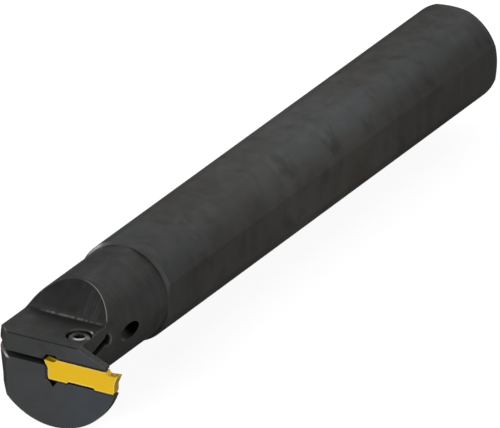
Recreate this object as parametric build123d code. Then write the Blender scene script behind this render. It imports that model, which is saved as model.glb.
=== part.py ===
from build123d import *
import os
from math import atan2, cos, degrees, radians, sin, sqrt, tan

# Internal grooving and boring bar: a steel bar with a slit, screw-clamped head that
# grips a double-ended grooving insert.
#
# Frame: X to the cutting side, Y back along the bar's axis, Z up out of the rake face.
# The origin is the centre of the shank's rear face, so the front face of the head is at
# Y = -OVERALL_LENGTH.  Inside the functions, a depth is a distance behind the front face
# and a height is measured from the bar's axis.  The cutting edges lie at height 0.
# All sizes are in millimetres and degrees.

# ---- Bar ---------------------------------------------------------------------------
OVERALL_LENGTH = 250.0
SHANK_DIAMETER = 32.0
ACROSS_FLATS = 30.0
REAR_CHAMFER = 1.5
NECK_DIAMETER = 30.0
NECK_LENGTH = 51.6

# ---- Chip gullet: a level floor and an inclined back wall --------------------------
FLOOR_HEIGHT = 6.0
FLOOR_LENGTH = 18.0
WALL_ANGLE = 48.0
GULLET_CORNER_RADIUS = 3.0
GULLET_EDGE_BREAK = 0.35
FRONT_EDGE_BREAK = 0.3

# ---- Blade: the thin plate at the front that carries the insert -------------------
BLADE_THICKNESS = 2.5
BLADE_RADIUS = 22.1
BLADE_CENTRE_X = 6.0
BLADE_CENTRE_HEIGHT = 0.8
BLADE_ROOT_RADIUS = 1.5
CORNER_CHAMFER = 5.0

# ---- Clamping jaw: the part of the head above the slit ----------------------------
JAW_FLAT_REACH = 14.0
JAW_REACH = 23.8
JAW_TIP_HEIGHT = 1.95
JAW_TIP_RADIUS = 0.35
JAW_GAP = 0.35

# ---- Slit and the relief hole at its end -------------------------------------------
SLIT_WIDTH = 2.0
SLIT_FRONT_HEIGHT = -0.9
SLIT_BACK_HEIGHT = 2.7
RELIEF_HOLE_DEPTH = 17.0
RELIEF_HOLE_DROP = 0.6
RELIEF_HOLE_DIAMETER = 3.0
HOLE_EDGE_BREAK = 0.45
SLIT_CORNER_BREAK = 0.5

# ---- Insert: symmetric end to end, seated between seat and jaw --------------------
INSERT_REACH = 28.0
INSERT_LENGTH = 25.0
EDGE_WIDTH = 3.0
INSERT_BODY_WIDTH = 2.6
INSERT_DEPTH = 6.1
PLATEAU_HEIGHT = 0.75
PLATEAU_LENGTH = 16.6
EDGE_LAND = 0.25
RAKE_DROP = 0.25
RAKE_LENGTH = 2.6
HOLLOW_RADIUS = 2.2
HOLLOW_START = 0.5
HOLLOW_DEPTH = 0.45
END_RELIEF_DEPTH = 2.8
END_RELIEF_INSET = 1.1
BASE_CORNER_RISE = 1.2
BASE_CORNER_RUN = 0.5
BASE_RECESS_LENGTH = 9.1
BASE_RECESS_RISE = 0.7
GROOVE_WIDTH = 1.5
GROOVE_DEPTH = 0.35

# ---- Pocket ------------------------------------------------------------------------
POCKET_DEPTH = 3.2
STOP_GAP = 0.1
RIDGE_CLEARANCE = 0.05
STOP_LEAN = 1.5
STOP_LEAN_RISE = 1.3
END_POCKET_HEIGHT = 1.9
END_POCKET_SLOPE = 1.0
NOTCH_WIDTH = 3.7
NOTCH_DROP = 2.3

# ---- Clamp screw: M4 with a low round head and a hexagon socket -------------------
SCREW_X = 9.75
SCREW_DEPTH = 8.75
THREAD_DIAMETER = 4.0
THREAD_CLEARANCE = 0.05
SHANK_HOLE_CLEARANCE = 0.25
SCREW_LENGTH = 10.0
SCREW_TIP_CHAMFER = 0.5
HEAD_DIAMETER = 6.7
HEAD_HEIGHT = 1.9
HEAD_BEVEL_WIDTH = 1.2
HEAD_BEVEL_HEIGHT = 0.6
HEAD_CLEARANCE = 0.65
HEAD_POCKET_CHAMFER = 0.3
HEAD_RECESS = 0.3
SOCKET_ACROSS_FLATS = 3.0
SOCKET_DEPTH = 1.3
BLIND_HOLE_SPARE = 1.0

# ---- Coolant: central bore, threaded rear inlet and side outlet --------------------
COOLANT_BORE_DIAMETER = 6.0
INLET_BORE_DIAMETER = 11.8
INLET_DEPTH = 15.0
INLET_CHAMFER = 1.0
OUTLET_DIAMETER = 5.0
OUTLET_ANGLE = 27.0
OUTLET_DISTANCE = 29.1

# ---- Places that follow from the sizes --------------------------------------------
SHANK_RADIUS = SHANK_DIAMETER / 2
NECK_RADIUS = NECK_DIAMETER / 2
STEP_WIDTH = SHANK_RADIUS - NECK_RADIUS
INSERT_CENTRE_X = INSERT_REACH - INSERT_LENGTH / 2
STOP_X = INSERT_REACH - INSERT_LENGTH + END_RELIEF_INSET - STOP_GAP
JAW_UNDERSIDE = PLATEAU_HEIGHT + JAW_GAP
BLADE_MIDDLE = BLADE_THICKNESS / 2
HEAD_SEAT_HEIGHT = FLOOR_HEIGHT - HEAD_RECESS - HEAD_HEIGHT
SLIT_SLOPE = (SLIT_BACK_HEIGHT - SLIT_FRONT_HEIGHT) / RELIEF_HOLE_DEPTH
MARGIN = 5.0
WIDE = 2 * (BLADE_RADIUS + SHANK_DIAMETER)


def slab(outline, start, stop):
    """The X-Z outline as a solid between two depths behind the front face."""
    return extrude(Plane.XZ.offset(-start) * outline, amount=start - stop)


def across(outline):
    """The Y-Z outline as a solid right across the bar."""
    return extrude(Plane.YZ * outline, amount=WIDE / 2, both=True)


def closed(*points):
    """The flat face inside straight lines between the points."""
    return make_face(Polyline(*points, close=True))


def upright(radius, bottom, top):
    """A round solid on the clamp screw's axis between two heights."""
    stem = Cylinder(radius, top - bottom, align=(Align.CENTER, Align.CENTER, Align.MIN))
    return Pos(SCREW_X, SCREW_DEPTH, bottom) * stem


def turned_blank():
    """Shank, 45 degree step and neck turned on the bar's axis."""
    profile = closed(
        (0, 0),
        (NECK_RADIUS, 0),
        (NECK_RADIUS, NECK_LENGTH),
        (SHANK_RADIUS, NECK_LENGTH + STEP_WIDTH),
        (SHANK_RADIUS, OVERALL_LENGTH - REAR_CHAMFER),
        (SHANK_RADIUS - REAR_CHAMFER, OVERALL_LENGTH),
        (0, OVERALL_LENGTH),
    )
    return revolve(profile, Axis.Y)


def shank_flats():
    """Four cutters that leave flats on the top, bottom and both sides of the shank."""
    length = OVERALL_LENGTH - NECK_LENGTH + MARGIN
    cutter = Box(WIDE, length, WIDE, align=(Align.CENTER, Align.MIN, Align.MIN))
    cutter = Pos(0, NECK_LENGTH, ACROSS_FLATS / 2) * cutter
    return [Rot(0, turn, 0) * cutter for turn in (0, 90, 180, 270)]


def gullet():
    """Cutter above the floor, with a fillet where the floor meets the inclined wall."""
    rise = SHANK_DIAMETER
    top = FLOOR_HEIGHT + rise
    outline = closed(
        (-MARGIN, FLOOR_HEIGHT),
        (FLOOR_LENGTH, FLOOR_HEIGHT),
        (FLOOR_LENGTH + rise / tan(radians(WALL_ANGLE)), top),
        (-MARGIN, top),
    )
    corner = outline.vertices().sort_by_distance((FLOOR_LENGTH, FLOOR_HEIGHT))[0]
    return across(fillet(corner, GULLET_CORNER_RADIUS))


def blade_outline():
    """X-Z outline of the blade: the disc below the seat and the nose of the jaw."""
    disc = Pos(BLADE_CENTRE_X, BLADE_CENTRE_HEIGHT) * Circle(BLADE_RADIUS)
    below = Pos(0, -INSERT_DEPTH) * Rectangle(WIDE, WIDE, align=(Align.CENTER, Align.MAX))
    nose = closed(
        (0, FLOOR_HEIGHT),
        (JAW_FLAT_REACH, FLOOR_HEIGHT),
        (JAW_REACH, JAW_TIP_HEIGHT),
        (JAW_REACH, JAW_UNDERSIDE),
        (0, JAW_UNDERSIDE),
    )
    tip = nose.vertices().sort_by(Axis.X)[-2:]
    return (disc & below) + fillet(tip, JAW_TIP_RADIUS)


def blade_root():
    """Ring with a hollow quarter-round section, between the blade's back and the neck."""
    start = BLADE_THICKNESS
    radius = BLADE_ROOT_RADIUS
    section = closed(
        (NECK_RADIUS - radius, start),
        (NECK_RADIUS + radius, start),
        (NECK_RADIUS + radius, start + radius),
        (NECK_RADIUS - radius, start + radius),
    )
    hollow = Pos(NECK_RADIUS + radius, start + radius) * Circle(radius)
    return revolve(section - hollow, Axis.Y)


def blade():
    """The thin plate with its root radius, both inside one outline."""
    outline = blade_outline()
    plate = slab(outline, 0, BLADE_THICKNESS)
    return plate + (slab(outline, 0, BLADE_THICKNESS + BLADE_ROOT_RADIUS) & blade_root())


def corner_cutter():
    """Cutter that leaves an upright 45 degree chamfer at the front left of the head."""
    outline = closed(
        (-NECK_RADIUS + CORNER_CHAMFER + MARGIN, -MARGIN),
        (-NECK_RADIUS - MARGIN, CORNER_CHAMFER + MARGIN),
        (-WIDE, CORNER_CHAMFER + MARGIN),
        (-WIDE, -MARGIN),
    )
    return extrude(outline, amount=WIDE / 2, both=True)


def slit():
    """Slit rising from the front face to the relief hole, which hangs below its end."""
    turn = atan2(SLIT_SLOPE, 1)
    reach = RELIEF_HOLE_DEPTH / cos(turn)
    cut = Rectangle(reach + MARGIN, SLIT_WIDTH, align=(Align.MAX, Align.CENTER))
    end = Pos(RELIEF_HOLE_DEPTH, SLIT_BACK_HEIGHT)
    hole = Pos(0, -RELIEF_HOLE_DROP) * Circle(RELIEF_HOLE_DIAMETER / 2)
    return across(end * (Rot(0, 0, degrees(turn)) * cut + hole))


def front_edge_cutter():
    """Cutter that breaks the edge where the floor of the gullet meets the front face."""
    foot = FLOOR_HEIGHT - FRONT_EDGE_BREAK
    outline = closed(
        (-MARGIN, foot - MARGIN),
        (FRONT_EDGE_BREAK + MARGIN, FLOOR_HEIGHT + MARGIN),
        (-MARGIN, FLOOR_HEIGHT + MARGIN),
    )
    return across(outline)


def slit_corner_cutter():
    """Cutter that breaks the slit's lower edge on the chamfer at the front left of the head."""
    size = SLIT_CORNER_BREAK * sqrt(2)
    length = CORNER_CHAMFER * sqrt(2) + MARGIN
    rise = atan2(SLIT_SLOPE, sqrt(2))
    floor_height = SLIT_FRONT_HEIGHT - SLIT_WIDTH / 2 * sqrt(1 + SLIT_SLOPE**2)
    wedge = Rot(0, 45, 0) * Box(size, length, size)
    along = Rot(0, 0, 45) * Rot(degrees(rise), 0, 0)
    middle = CORNER_CHAMFER / 2
    place = Pos(-NECK_RADIUS + middle, middle, floor_height + SLIT_SLOPE * middle)
    return place * along * wedge


def pocket():
    """Insert pocket: seat, stop wall, clearance round the inner edge and corner notch."""
    seat = -INSERT_DEPTH
    notch_end = STOP_X + NOTCH_WIDTH
    lean_foot = -END_RELIEF_DEPTH
    inner = STOP_X - STOP_LEAN
    outline = closed(
        (WIDE, seat),
        (notch_end, seat),
        (STOP_X + NOTCH_WIDTH / 2, seat - NOTCH_DROP),
        (STOP_X, seat),
        (STOP_X, lean_foot),
        (inner, lean_foot + STOP_LEAN_RISE),
        (inner, JAW_UNDERSIDE - END_POCKET_SLOPE),
        (inner + END_POCKET_SLOPE, END_POCKET_HEIGHT),
        (notch_end - END_POCKET_SLOPE, END_POCKET_HEIGHT),
        (notch_end, JAW_UNDERSIDE),
        (WIDE, JAW_UNDERSIDE),
    )
    return slab(outline, -MARGIN, POCKET_DEPTH)


def rail(mouth, height, start, stop):
    """Prism along X that narrows at 45 degrees: mouth wide at its root, height tall."""
    half = mouth / 2
    section = closed((-half, 0), (half, 0), (half - height, height), (height - half, height))
    return Pos(start, BLADE_MIDDLE, 0) * extrude(Plane.YZ * section, amount=stop - start)


def seat_rail():
    """Ridge on the seat that the groove in the insert's base sits over."""
    mouth = GROOVE_WIDTH - 2 * RIDGE_CLEARANCE
    height = GROOVE_DEPTH - RIDGE_CLEARANCE
    ridge = rail(mouth, height, STOP_X + NOTCH_WIDTH, BLADE_CENTRE_X + BLADE_RADIUS)
    disc = Pos(BLADE_CENTRE_X, BLADE_CENTRE_HEIGHT) * Circle(BLADE_RADIUS)
    return (Pos(0, 0, -INSERT_DEPTH) * ridge) & slab(disc, 0, BLADE_THICKNESS)


def jaw_rail():
    """Ridge under the jaw whose sides press on the sides of the insert's top groove."""
    mouth = GROOVE_WIDTH + 2 * JAW_GAP
    height = GROOVE_DEPTH - RIDGE_CLEARANCE + JAW_GAP
    start = STOP_X + NOTCH_WIDTH
    stop = JAW_REACH - JAW_TIP_RADIUS
    return Pos(0, 2 * BLADE_MIDDLE, JAW_UNDERSIDE) * Rot(180, 0, 0) * rail(mouth, height, start, stop)


def screw_holes():
    """Head pocket with a chamfered mouth and clearance hole, tapped blind hole below the slit."""
    slit_height = SLIT_FRONT_HEIGHT + SLIT_SLOPE * SCREW_DEPTH
    head_radius = HEAD_DIAMETER / 2 + HEAD_CLEARANCE
    head = upright(head_radius, HEAD_SEAT_HEIGHT, FLOOR_HEIGHT + MARGIN)
    mouth = Cone(
        head_radius,
        head_radius + HEAD_POCKET_CHAMFER + MARGIN,
        HEAD_POCKET_CHAMFER + MARGIN,
        align=(Align.CENTER, Align.CENTER, Align.MIN),
    )
    mouth = Pos(SCREW_X, SCREW_DEPTH, FLOOR_HEIGHT - HEAD_POCKET_CHAMFER) * mouth
    passage = upright(THREAD_DIAMETER / 2 + SHANK_HOLE_CLEARANCE, slit_height, FLOOR_HEIGHT)
    bottom = HEAD_SEAT_HEIGHT - SCREW_LENGTH - BLIND_HOLE_SPARE
    tapped = upright(THREAD_DIAMETER / 2 + THREAD_CLEARANCE, bottom, slit_height)
    return [head, mouth, passage, tapped]


def coolant_holes():
    """Central bore, threaded inlet with a chamfered mouth, and the oblique outlet."""
    meet = OUTLET_DISTANCE + NECK_RADIUS / tan(radians(OUTLET_ANGLE))
    bore_radius = COOLANT_BORE_DIAMETER / 2
    inlet_radius = INLET_BORE_DIAMETER / 2
    inlet_floor = OVERALL_LENGTH - INLET_DEPTH
    centre = revolve(
        closed(
            (0, meet),
            (bore_radius, meet),
            (bore_radius, inlet_floor),
            (inlet_radius, inlet_floor),
            (inlet_radius, OVERALL_LENGTH - INLET_CHAMFER),
            (inlet_radius + INLET_CHAMFER, OVERALL_LENGTH),
            (0, OVERALL_LENGTH),
        ),
        Axis.Y,
    )
    reach = (NECK_RADIUS + MARGIN) / sin(radians(OUTLET_ANGLE))
    drill = Cylinder(OUTLET_DIAMETER / 2, reach, align=(Align.CENTER, Align.CENTER, Align.MIN))
    outward = Plane(
        origin=(0, meet, 0),
        z_dir=(sin(radians(OUTLET_ANGLE)), -cos(radians(OUTLET_ANGLE)), 0),
    )
    return [centre, outward * drill]


def bar():
    """The one-piece steel bar with its head, pocket and passages."""
    blank = turned_blank()
    cutter = gullet()
    body = blank - cutter
    rim = new_edges(blank, cutter, combined=body).sort_by(Axis.Y)[1:]
    body = chamfer(rim, GULLET_EDGE_BREAK)
    for cutter in shank_flats():
        body -= cutter
    body += blade()
    body -= corner_cutter()
    body -= front_edge_cutter()
    whole = body
    body -= slit()
    hole_rims = new_edges(whole, slit(), combined=body).sort_by(Axis.Y)[-2:]
    body = chamfer(hole_rims, HOLE_EDGE_BREAK)
    body -= slit_corner_cutter()
    body -= pocket()
    body += seat_rail() + jaw_rail()
    for cutter in screw_holes() + coolant_holes():
        body -= cutter
    return body


def insert_outline():
    """X-Z outline of the insert about its middle, the right half mirrored to the left."""
    end = INSERT_LENGTH / 2
    flank = end - END_RELIEF_INSET
    base = -INSERT_DEPTH
    plateau = PLATEAU_LENGTH / 2
    foot = end - RAKE_LENGTH
    land = end - EDGE_LAND
    recess = BASE_RECESS_LENGTH / 2
    low = [
        (end, 0),
        (flank, -END_RELIEF_DEPTH),
        (flank, base + BASE_CORNER_RISE),
        (flank - BASE_CORNER_RUN, base),
        (recess + BASE_RECESS_RISE / 2, base),
        (recess - BASE_RECESS_RISE / 2, base + BASE_RECESS_RISE),
        (0, base + BASE_RECESS_RISE),
    ]
    lines = [Line(a, b) for a, b in zip(low, low[1:])]
    rake = (-RAKE_DROP) / (land - foot)
    lines += [
        Line((end, 0), (land, 0)),
        Line((land, 0), (foot, -RAKE_DROP)),
        TangentArc((foot, -RAKE_DROP), (plateau, PLATEAU_HEIGHT), tangent=(-1, rake)),
        Line((plateau, PLATEAU_HEIGHT), (0, PLATEAU_HEIGHT)),
        Line((0, PLATEAU_HEIGHT), (0, base + BASE_RECESS_RISE)),
    ]
    half = make_face(lines)
    return half + mirror(half, Plane.YZ)


def insert_end():
    """Wedge at the right end, widest at the cutting edge, with side and back clearance."""
    half_body = INSERT_BODY_WIDTH / 2
    flare = (EDGE_WIDTH - INSERT_BODY_WIDTH) / 2
    lean = flare / END_RELIEF_DEPTH

    def section(half):
        """Section across the insert: half as wide as stated at the height of the edges."""
        top = half + lean * PLATEAU_HEIGHT
        bottom = half - flare
        return closed(
            (-top, PLATEAU_HEIGHT),
            (top, PLATEAU_HEIGHT),
            (bottom, -END_RELIEF_DEPTH),
            (-bottom, -END_RELIEF_DEPTH),
        )

    start = Plane.YZ.offset(PLATEAU_LENGTH / 2)
    stop = Plane.YZ.offset(INSERT_LENGTH / 2)
    return loft([start * section(half_body), stop * section(half_body + flare)])


def hollow():
    """Round-ended cutter for the hollow that curls the chip, sinking away from the edge."""
    start = INSERT_LENGTH / 2 - HOLLOW_START
    stop = INSERT_LENGTH / 2 - RAKE_LENGTH
    axis_start = Vector(start, 0, HOLLOW_RADIUS)
    axis_stop = Vector(stop, 0, HOLLOW_RADIUS - HOLLOW_DEPTH)
    run = axis_start - axis_stop
    along = Plane(origin=axis_stop, z_dir=run)
    length = run.length + EDGE_WIDTH
    trough = Cylinder(HOLLOW_RADIUS, length, align=(Align.CENTER, Align.CENTER, Align.MIN))
    return along * trough + Pos(*axis_stop) * Sphere(HOLLOW_RADIUS)


def insert():
    """Double-ended grooving insert with a groove along its base and its top."""
    length = INSERT_LENGTH + MARGIN
    body = Box(length, INSERT_BODY_WIDTH, WIDE)
    end = insert_end()
    solid = slab(insert_outline(), -EDGE_WIDTH, EDGE_WIDTH) & (body + end + mirror(end, Plane.YZ))
    base_groove = Pos(0, -BLADE_MIDDLE, 0) * rail(GROOVE_WIDTH, GROOVE_DEPTH, -length, length)
    half = PLATEAU_LENGTH / 2
    top_groove = Pos(0, -BLADE_MIDDLE, 0) * rail(GROOVE_WIDTH, GROOVE_DEPTH, -half, half)
    solid -= Pos(0, 0, -INSERT_DEPTH) * base_groove
    solid -= Pos(0, 0, PLATEAU_HEIGHT) * Rot(180, 0, 0) * mirror(top_groove, Plane.XZ)
    solid -= hollow()
    solid -= mirror(hollow(), Plane.YZ)
    return Pos(INSERT_CENTRE_X, BLADE_MIDDLE, 0) * solid


def clamp_screw():
    """Screw turned on its own axis, with a chamfered head and a hexagon socket."""
    head_radius = HEAD_DIAMETER / 2
    thread_radius = THREAD_DIAMETER / 2
    tip = -SCREW_LENGTH
    profile = closed(
        (0, tip),
        (thread_radius - SCREW_TIP_CHAMFER, tip),
        (thread_radius, tip + SCREW_TIP_CHAMFER),
        (thread_radius, 0),
        (head_radius, 0),
        (head_radius, HEAD_HEIGHT - HEAD_BEVEL_HEIGHT),
        (head_radius - HEAD_BEVEL_WIDTH, HEAD_HEIGHT),
        (0, HEAD_HEIGHT),
    )
    turned = revolve(Plane.XZ * profile, Axis.Z)
    hexagon = RegularPolygon(SOCKET_ACROSS_FLATS / 2, 6, major_radius=False)
    socket = extrude(Pos(0, 0, HEAD_HEIGHT) * hexagon, amount=-SOCKET_DEPTH)
    return Pos(SCREW_X, SCREW_DEPTH, HEAD_SEAT_HEIGHT) * (turned - socket)


def main():
    """Builds each piece in the head's frame and writes it in the bar's own frame."""
    os.makedirs("parts", exist_ok=True)
    to_rear_origin = Pos(0, -OVERALL_LENGTH, 0)
    pieces = {"bar": bar(), "insert": insert(), "clamp_screw": clamp_screw()}
    for name, solid in pieces.items():
        export_step(to_rear_origin * solid, f"parts/{name}.step")


main()
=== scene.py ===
import math
from types import SimpleNamespace

import bmesh
import bpy
import numpy as np
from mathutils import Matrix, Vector


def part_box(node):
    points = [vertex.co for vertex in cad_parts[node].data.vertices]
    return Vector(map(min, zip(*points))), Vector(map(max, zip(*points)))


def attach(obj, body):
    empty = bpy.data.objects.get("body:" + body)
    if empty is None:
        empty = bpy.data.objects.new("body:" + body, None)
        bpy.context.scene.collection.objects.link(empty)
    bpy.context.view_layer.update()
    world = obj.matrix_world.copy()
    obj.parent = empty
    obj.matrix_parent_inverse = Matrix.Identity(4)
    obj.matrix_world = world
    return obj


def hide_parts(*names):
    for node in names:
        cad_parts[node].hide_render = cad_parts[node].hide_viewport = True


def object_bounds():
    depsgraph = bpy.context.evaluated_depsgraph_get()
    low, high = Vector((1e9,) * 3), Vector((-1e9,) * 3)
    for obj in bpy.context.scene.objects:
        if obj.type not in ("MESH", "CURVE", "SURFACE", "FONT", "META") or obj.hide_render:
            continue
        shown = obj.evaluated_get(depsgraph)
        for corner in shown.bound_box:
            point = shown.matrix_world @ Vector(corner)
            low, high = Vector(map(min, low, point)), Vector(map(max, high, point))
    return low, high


# A steel boring bar for internal grooving: a long shank with four flats, a turned neck and a slotted
# head that grips a gold coated double ended insert under a springy jaw, pulled down by one socket screw.
# Every length is in metres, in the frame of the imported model: X to the cutting side, Y back along the
# bar, Z up, with the origin at the centre of the shank's rear face.

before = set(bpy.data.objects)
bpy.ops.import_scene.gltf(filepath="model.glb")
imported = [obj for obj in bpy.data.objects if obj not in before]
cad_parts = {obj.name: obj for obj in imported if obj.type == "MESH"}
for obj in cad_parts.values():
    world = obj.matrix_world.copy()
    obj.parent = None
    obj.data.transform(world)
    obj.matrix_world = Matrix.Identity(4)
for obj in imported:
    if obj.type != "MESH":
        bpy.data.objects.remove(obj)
cad_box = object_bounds()

MM = 0.001
FULL_TURN = 2 * math.pi
SHARP_EDGE = math.radians(30)
SAME_POINT = 0.0005 * MM                       # points of a new piece nearer than this are one

# ---------------------------------------------------------------- places on the bar
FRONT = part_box("bar")[0].y                     # the head's front face
REAR = 0.0                                     # the shank's rear face
FLAT_REACH = 15.0 * MM                         # from the bar's axis to each of the four flats
NECK_RADIUS = 15.0 * MM
NECK_BACK = FRONT + 51.6 * MM                  # where the neck meets the step up to the shank
DECK = 6.0 * MM                                # the flat top of the jaw, above the bar's axis
FILLET_START = FRONT + 16.66 * MM              # where the deck begins to curve up into the wall
GULLET_EDGE_BREAK = 0.35 * MM
FRONT_EDGE_BREAK = 0.3 * MM
CORNER = -9.8 * MM                             # x plus the depth behind the front, on the far corner's slope
SLIT_EDGE_Z = -2.2 * MM                        # the slit's broken lower edge on the far corner
HOLE_Y, HOLE_Z = FRONT + 17.0 * MM, 2.1 * MM   # the relief hole at the end of the slit
HOLE_RADIUS = 1.5 * MM
HOLE_EDGE_BREAK = 0.45 * MM
COUNTERBORE_RADIUS = 4.0 * MM                  # the round pocket of the screw's head
COUNTERBORE_CHAMFER = 0.3 * MM
INLET_RADIUS = 5.9 * MM                        # the coolant inlet in the rear face

# ---------------------------------------------------------------- places on the insert
INSERT_TOP = 1.1 * MM                          # the underside of the jaw, over the insert
INSERT_BASE = -6.1 * MM
RECESS_CEILING = -5.4 * MM                     # the recess along the base, between the two feet
RECESS_X = (11.2 * MM, 19.8 * MM)
INNER_FOOT_X = (4.1 * MM, 10.9 * MM)
OUTER_FOOT_X = (20.1 * MM, 27.6 * MM)
END_RELIEF_Z = -2.8 * MM                       # both ends slant inwards from the bar's axis down to here
INNER_END_X = (3.0 * MM, 4.1 * MM)             # each end at the axis, and from its relief down
OUTER_END_X = (28.0 * MM, 26.9 * MM)
DIMPLE_X, DIMPLE_Y = 26.0 * MM, FRONT + 1.8 * MM
DIMPLE_SQUASH = 0.7                            # its width in Y over its length in X
DIMPLE_RIM = (0.55 * MM, 0.75 * MM)            # from the dimple's middle, measured in Y
TOP_HIGHLIGHT_Z = (0.3 * MM, 0.6 * MM)             # the painted highlight just below the top of its front face
SEAM_OVER_X = (5.5 * MM, 24 * MM)              # where the painted shade of the joint between its top and the jaw shows

# ---------------------------------------------------------------- places on the screw
SCREW_LOW, SCREW_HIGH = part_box("clamp_screw")
SCREW_X, SCREW_Y = (SCREW_LOW.x + SCREW_HIGH.x) / 2, (SCREW_LOW.y + SCREW_HIGH.y) / 2
HEAD_RADIUS = 3.35 * MM
HEAD_HEIGHT = 1.9 * MM
HEAD_BEVEL_WIDTH = 1.2 * MM
HEAD_BEVEL_HEIGHT = 0.6 * MM
SOCKET_FLAT = 1.5 * MM                         # from the socket's middle to each of its six flats
SOCKET_DEPTH = 1.3 * MM
MOUTH_RADIUS = 2.05 * MM                       # the cone that leads the key into the socket
MOUTH_DEPTH = 0.32 * MM
THREAD_RADIUS = 2.0 * MM
THREAD_PITCH = 0.7 * MM
THREAD_DEPTH = 0.613 * THREAD_PITCH            # of a 60 degree thread
TIP_CHAMFER = 0.5 * MM
# the middle of the painted highlight on the bevel of the screw's head
HEAD_HIGHLIGHT_X, HEAD_HIGHLIGHT_Y = SCREW_X + 1.15 * MM, SCREW_Y - 2.1 * MM
HEAD_HIGHLIGHT_FADE = (2.4 * MM, 0.7 * MM)            # from there, where the painted highlight begins and where it is whole
HEAD_HIGHLIGHT_BAND = (2.1 * MM, 2.6 * MM)            # the ring that it lies on, from the screw's axis

# ---------------------------------------------------------------- where the marks lie
LIGHTER_MIDDLE_Y = (-105 * MM, -92 * MM)              # the middle of the shank, where the tone is lighter
LIGHTER_MIDDLE_FADE = 62 * MM                         # how far the lighter tone fades out on both sides
RIM_SPOT_X, RIM_SPOT_Y = SCREW_X + 2.4 * MM, SCREW_Y + 3.35 * MM   # the painted highlight on the screw pocket's rim
# Each pair below runs along one axis, from where a mark begins to show to where it is whole.
HEAD_HALF_Y = (-150 * MM, -160 * MM)           # keeps the wall's mask off the rear half of the bar
SHOULDER_X = (1 * MM, 5 * MM)                  # up the round shoulder beside the top flat
SHOULDER_Z = (9 * MM, 13 * MM)
FORWARD_Y = (-100 * MM, -170 * MM)
COOL_FRONT_Y = (-160 * MM, -190 * MM)          # the cooler tone towards both ends of the shank
COOL_REAR_Y = (-28 * MM, -8 * MM)
CROWN_Z = (11 * MM, 14 * MM)                   # the top of the neck, darkened with painted shade
WALL_STREAKS_X = (-4 * MM, 9 * MM)
# where the painted highlight on the gullet's rim grows, towards the cutting side
GULLET_RIM_X = (0.0, 7 * MM)
BLADE_Z = (INSERT_TOP, -1.0 * MM)              # down the front face, onto the blade
BLADE_BLUE_X = (2 * MM, 20 * MM)
JAW_Z = (INSERT_TOP - 0.1 * MM, INSERT_TOP)    # up the front face, onto the jaw
JAW_NOSE_X = (3 * MM, 15 * MM)
FOOT_SHADE_X = (14 * MM, 0.0)                  # the shade at the foot of the wall
FOOT_LINE_X = (12 * MM, 0.0)                   # the light that the fillet there catches
FOOT_LINE_START_X = (-10 * MM, -5 * MM)
STEP_GLINT_X = (-7 * MM, -9.5 * MM)            # where the step's far shoulder catches the light
STEP_GLINT_Z = (8 * MM, 10 * MM)
HOLE_GLINT_X = (10 * MM, 12 * MM)              # the painted highlight on the relief hole's rim, on the cutting side
UNDER_JAW_X = (24.2 * MM, 23.2 * MM)           # the jaw's shade along the insert's top
END_DARK_Z = (-2.2 * MM, -1.2 * MM)            # the darker painted shade on the upper part of the insert's outer end
DIMPLE_Z = (-0.9 * MM, -0.5 * MM)              # keeps the dimple's painted shade on the insert's top

# ---------------------------------------------------------------- brightness and gloss
BATH_GAIN = 0.79                               # the oxide bath's tone before any part changes it
MIDDLE_GAIN, FORWARD_GAIN, SIDE_FLAT_GAIN = 0.62, 0.22, 0.03   # what each part of the bar adds to that
# the neck darker, and its top darker still with painted shade
NECK_GAIN, CROWN_SHADE_GAIN = -0.24, -0.22
WORN_GLINT, SLIT_GLINT, DECK_GLINT = 0.12, 0.7, 0.35           # the share of bare steel on worn edges, and how bright the painted highlights on the slit's and the deck's edges are
# how bright the painted highlights on the step's shoulder and the relief hole's rim are
STEP_GLINT, HOLE_GLINT = 0.6, 0.26
OXIDE_ROUGHNESS = (0.42, 0.56)                 # where the fine clouds are 0 and where they are 1
GOLD_ROUGHNESS = (0.34, 0.44)
SCREW_ROUGHNESS = (0.26, 0.40)
BLOT_ROUGHNESS = 0.04                          # the most that a blot adds or takes away
BARE_ROUGHNESS = 0.36
BARE_METALLIC = 0.5
SCREW_METALLIC = 0.5
OXIDE_SPECULAR = 0.385


# ---------------------------------------------------------------- colours
def grey(level, warmth=0.0):
    """A grey of that brightness, warmer above zero warmth and cooler below."""
    return (level * (1 + warmth), level, level * (1 - warmth), 1.0)


OXIDE_DARK, OXIDE_PALE = grey(0.026, 0.19), grey(0.0455, -0.015)   # the two tones of the broad clouds
OXIDE_FINE = grey(0.048, 0.09)
OXIDE_BLUED = grey(0.055, -0.13)
OXIDE_BAND = grey(0.060, -0.02)
OXIDE_BLOT = grey(0.018, 0.12)
OXIDE_TINT = (0.99, 1.015, 0.975)              # the faint green cast of the oxide
COOL_TINT = (0.91, 0.995, 1.01)
# warmer, and darker with painted shade, for the flat that faces the cutting side
SIDE_FLAT_SHADE = grey(0.044, 0.16)
# pale cutter lines and streaks; the first also gives the painted highlight on the neck's step
CUT_LINE_AND_STEP_HIGHLIGHT, CUT_STREAK = grey(0.0654), grey(0.0654, -0.02)
# painted shade that darkens the gullet's wall
GULLET_WALL_SHADE = grey(0.00769)
BLADE, BLADE_BLUE = grey(0.058, -0.05), grey(0.066, -0.18)
JAW, JAW_NOSE = grey(0.047, -0.02), grey(0.064, -0.10)
FOOT_SHADE = grey(0.00923)
# painted shade on the broken top edge of the front face
FRONT_EDGE_SHADE = grey(0.00615)
# painted shade in gaps, and darker in the bar's deep hollows
GAP_SHADE, DEEP_GAP_SHADE = grey(0.00462), grey(0.000769)
# bare steel on worn edges, and the colour of the painted highlights
BARE_STEEL_AND_HIGHLIGHT = grey(0.42, 0.01)
# painted brown shade along the joints round the insert
SEAM_SHADE_BROWN = (0.034, 0.015, 0.001, 1.0)

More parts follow.
